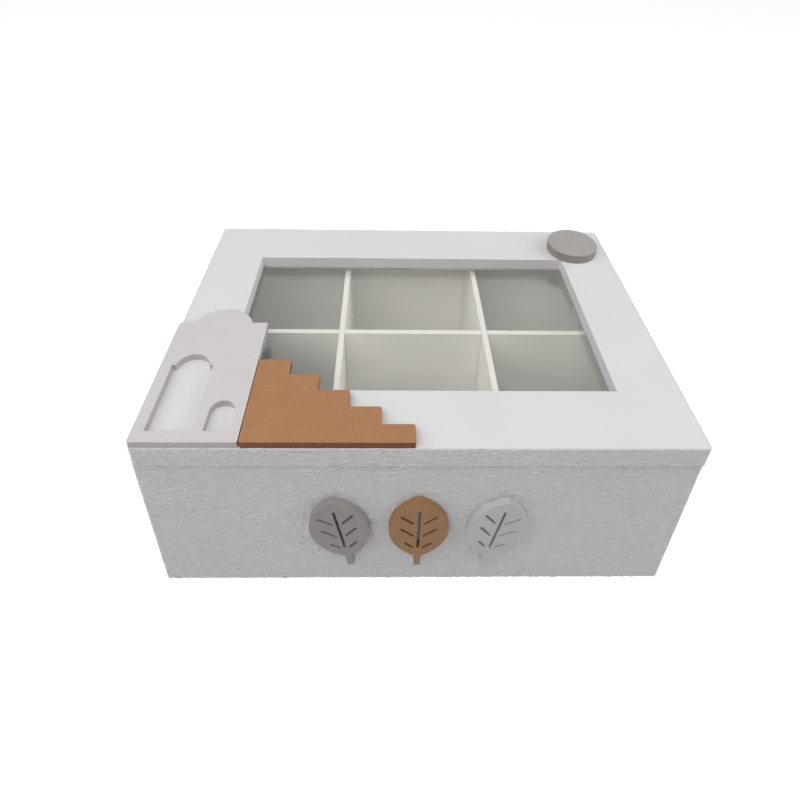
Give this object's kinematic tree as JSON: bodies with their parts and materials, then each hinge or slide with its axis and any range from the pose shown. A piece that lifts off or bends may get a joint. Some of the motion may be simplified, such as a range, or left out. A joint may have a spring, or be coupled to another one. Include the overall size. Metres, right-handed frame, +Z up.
{
  "type": "tea bag box",
  "caption": "Low white wooden tea bag box with a hinged, glazed lid over a grid of compartments, rough coated walls and flat cut-out ornaments on lid and front.",
  "frame": {"origin": "middle of the underside, midway between the carcass's outer faces", "axes": "+X to the right seen from the front, +Y towards the hinged back, +Z up"},
  "size_m": [0.24, 0.1731, 0.1043],
  "materials": {
    "rough_white_coat": "white paint over a rough brushed coat on MDF, matt",
    "smooth_white_paint": "smooth sprayed white paint on MDF, matt",
    "warm_grey_paint": "light warm grey paint on MDF, matt",
    "copper_brown_paint": "copper brown paint with a fine sparkle on MDF, satin",
    "mauve_grey_paint": "mauve grey paint on MDF, matt",
    "pale_grey_paint": "pale grey paint on MDF, matt",
    "clear_glass": "clear float glass, faintly green",
    "hinge_nickel": "nickel-plated pressed steel, satin",
    "pin_steel": "plain bright steel wire"
  },
  "bodies": {
    "box": {"front_panel": "rough_white_coat", "back_panel": "rough_white_coat", "left_panel": "rough_white_coat", "right_panel": "rough_white_coat", "base_panel": "smooth_white_paint", "long_divider": "smooth_white_paint", "cross_divider_left": "smooth_white_paint", "cross_divider_right": "smooth_white_paint", "corner_pins": "pin_steel", "base_pins": "pin_steel", "leaf_plaque_left": "mauve_grey_paint", "leaf_plaque_middle": "copper_brown_paint", "leaf_plaque_right": "pale_grey_paint", "hinge_left_box_leaf": "hinge_nickel", "hinge_right_box_leaf": "hinge_nickel", "hinge_left_pin": "hinge_nickel", "hinge_right_pin": "hinge_nickel", "box_hinge_screws": "hinge_nickel"},
    "lid": {"lid_front_rail": "smooth_white_paint", "lid_back_rail": "smooth_white_paint", "lid_left_stile": "smooth_white_paint", "lid_right_stile": "smooth_white_paint", "mitre_nails": "pin_steel", "glass_pane": "clear_glass", "glazing_bead_front": "smooth_white_paint", "glazing_bead_back": "smooth_white_paint", "glazing_bead_left": "smooth_white_paint", "glazing_bead_right": "smooth_white_paint", "bead_pins": "pin_steel", "arch_plate": "warm_grey_paint", "stair_plate": "copper_brown_paint", "sun_disc": "mauve_grey_paint", "hinge_left_lid_leaf": "hinge_nickel", "hinge_right_lid_leaf": "hinge_nickel", "lid_hinge_screws": "hinge_nickel"}
  },
  "joints": [
    {"name": "lid_hinge", "type": "hinge", "parent": "box", "child": "lid", "pos_m": [0, 0.0837, 0.08705], "axis": [-1, 0, 0], "range_deg": [0, 105]}
  ]
}
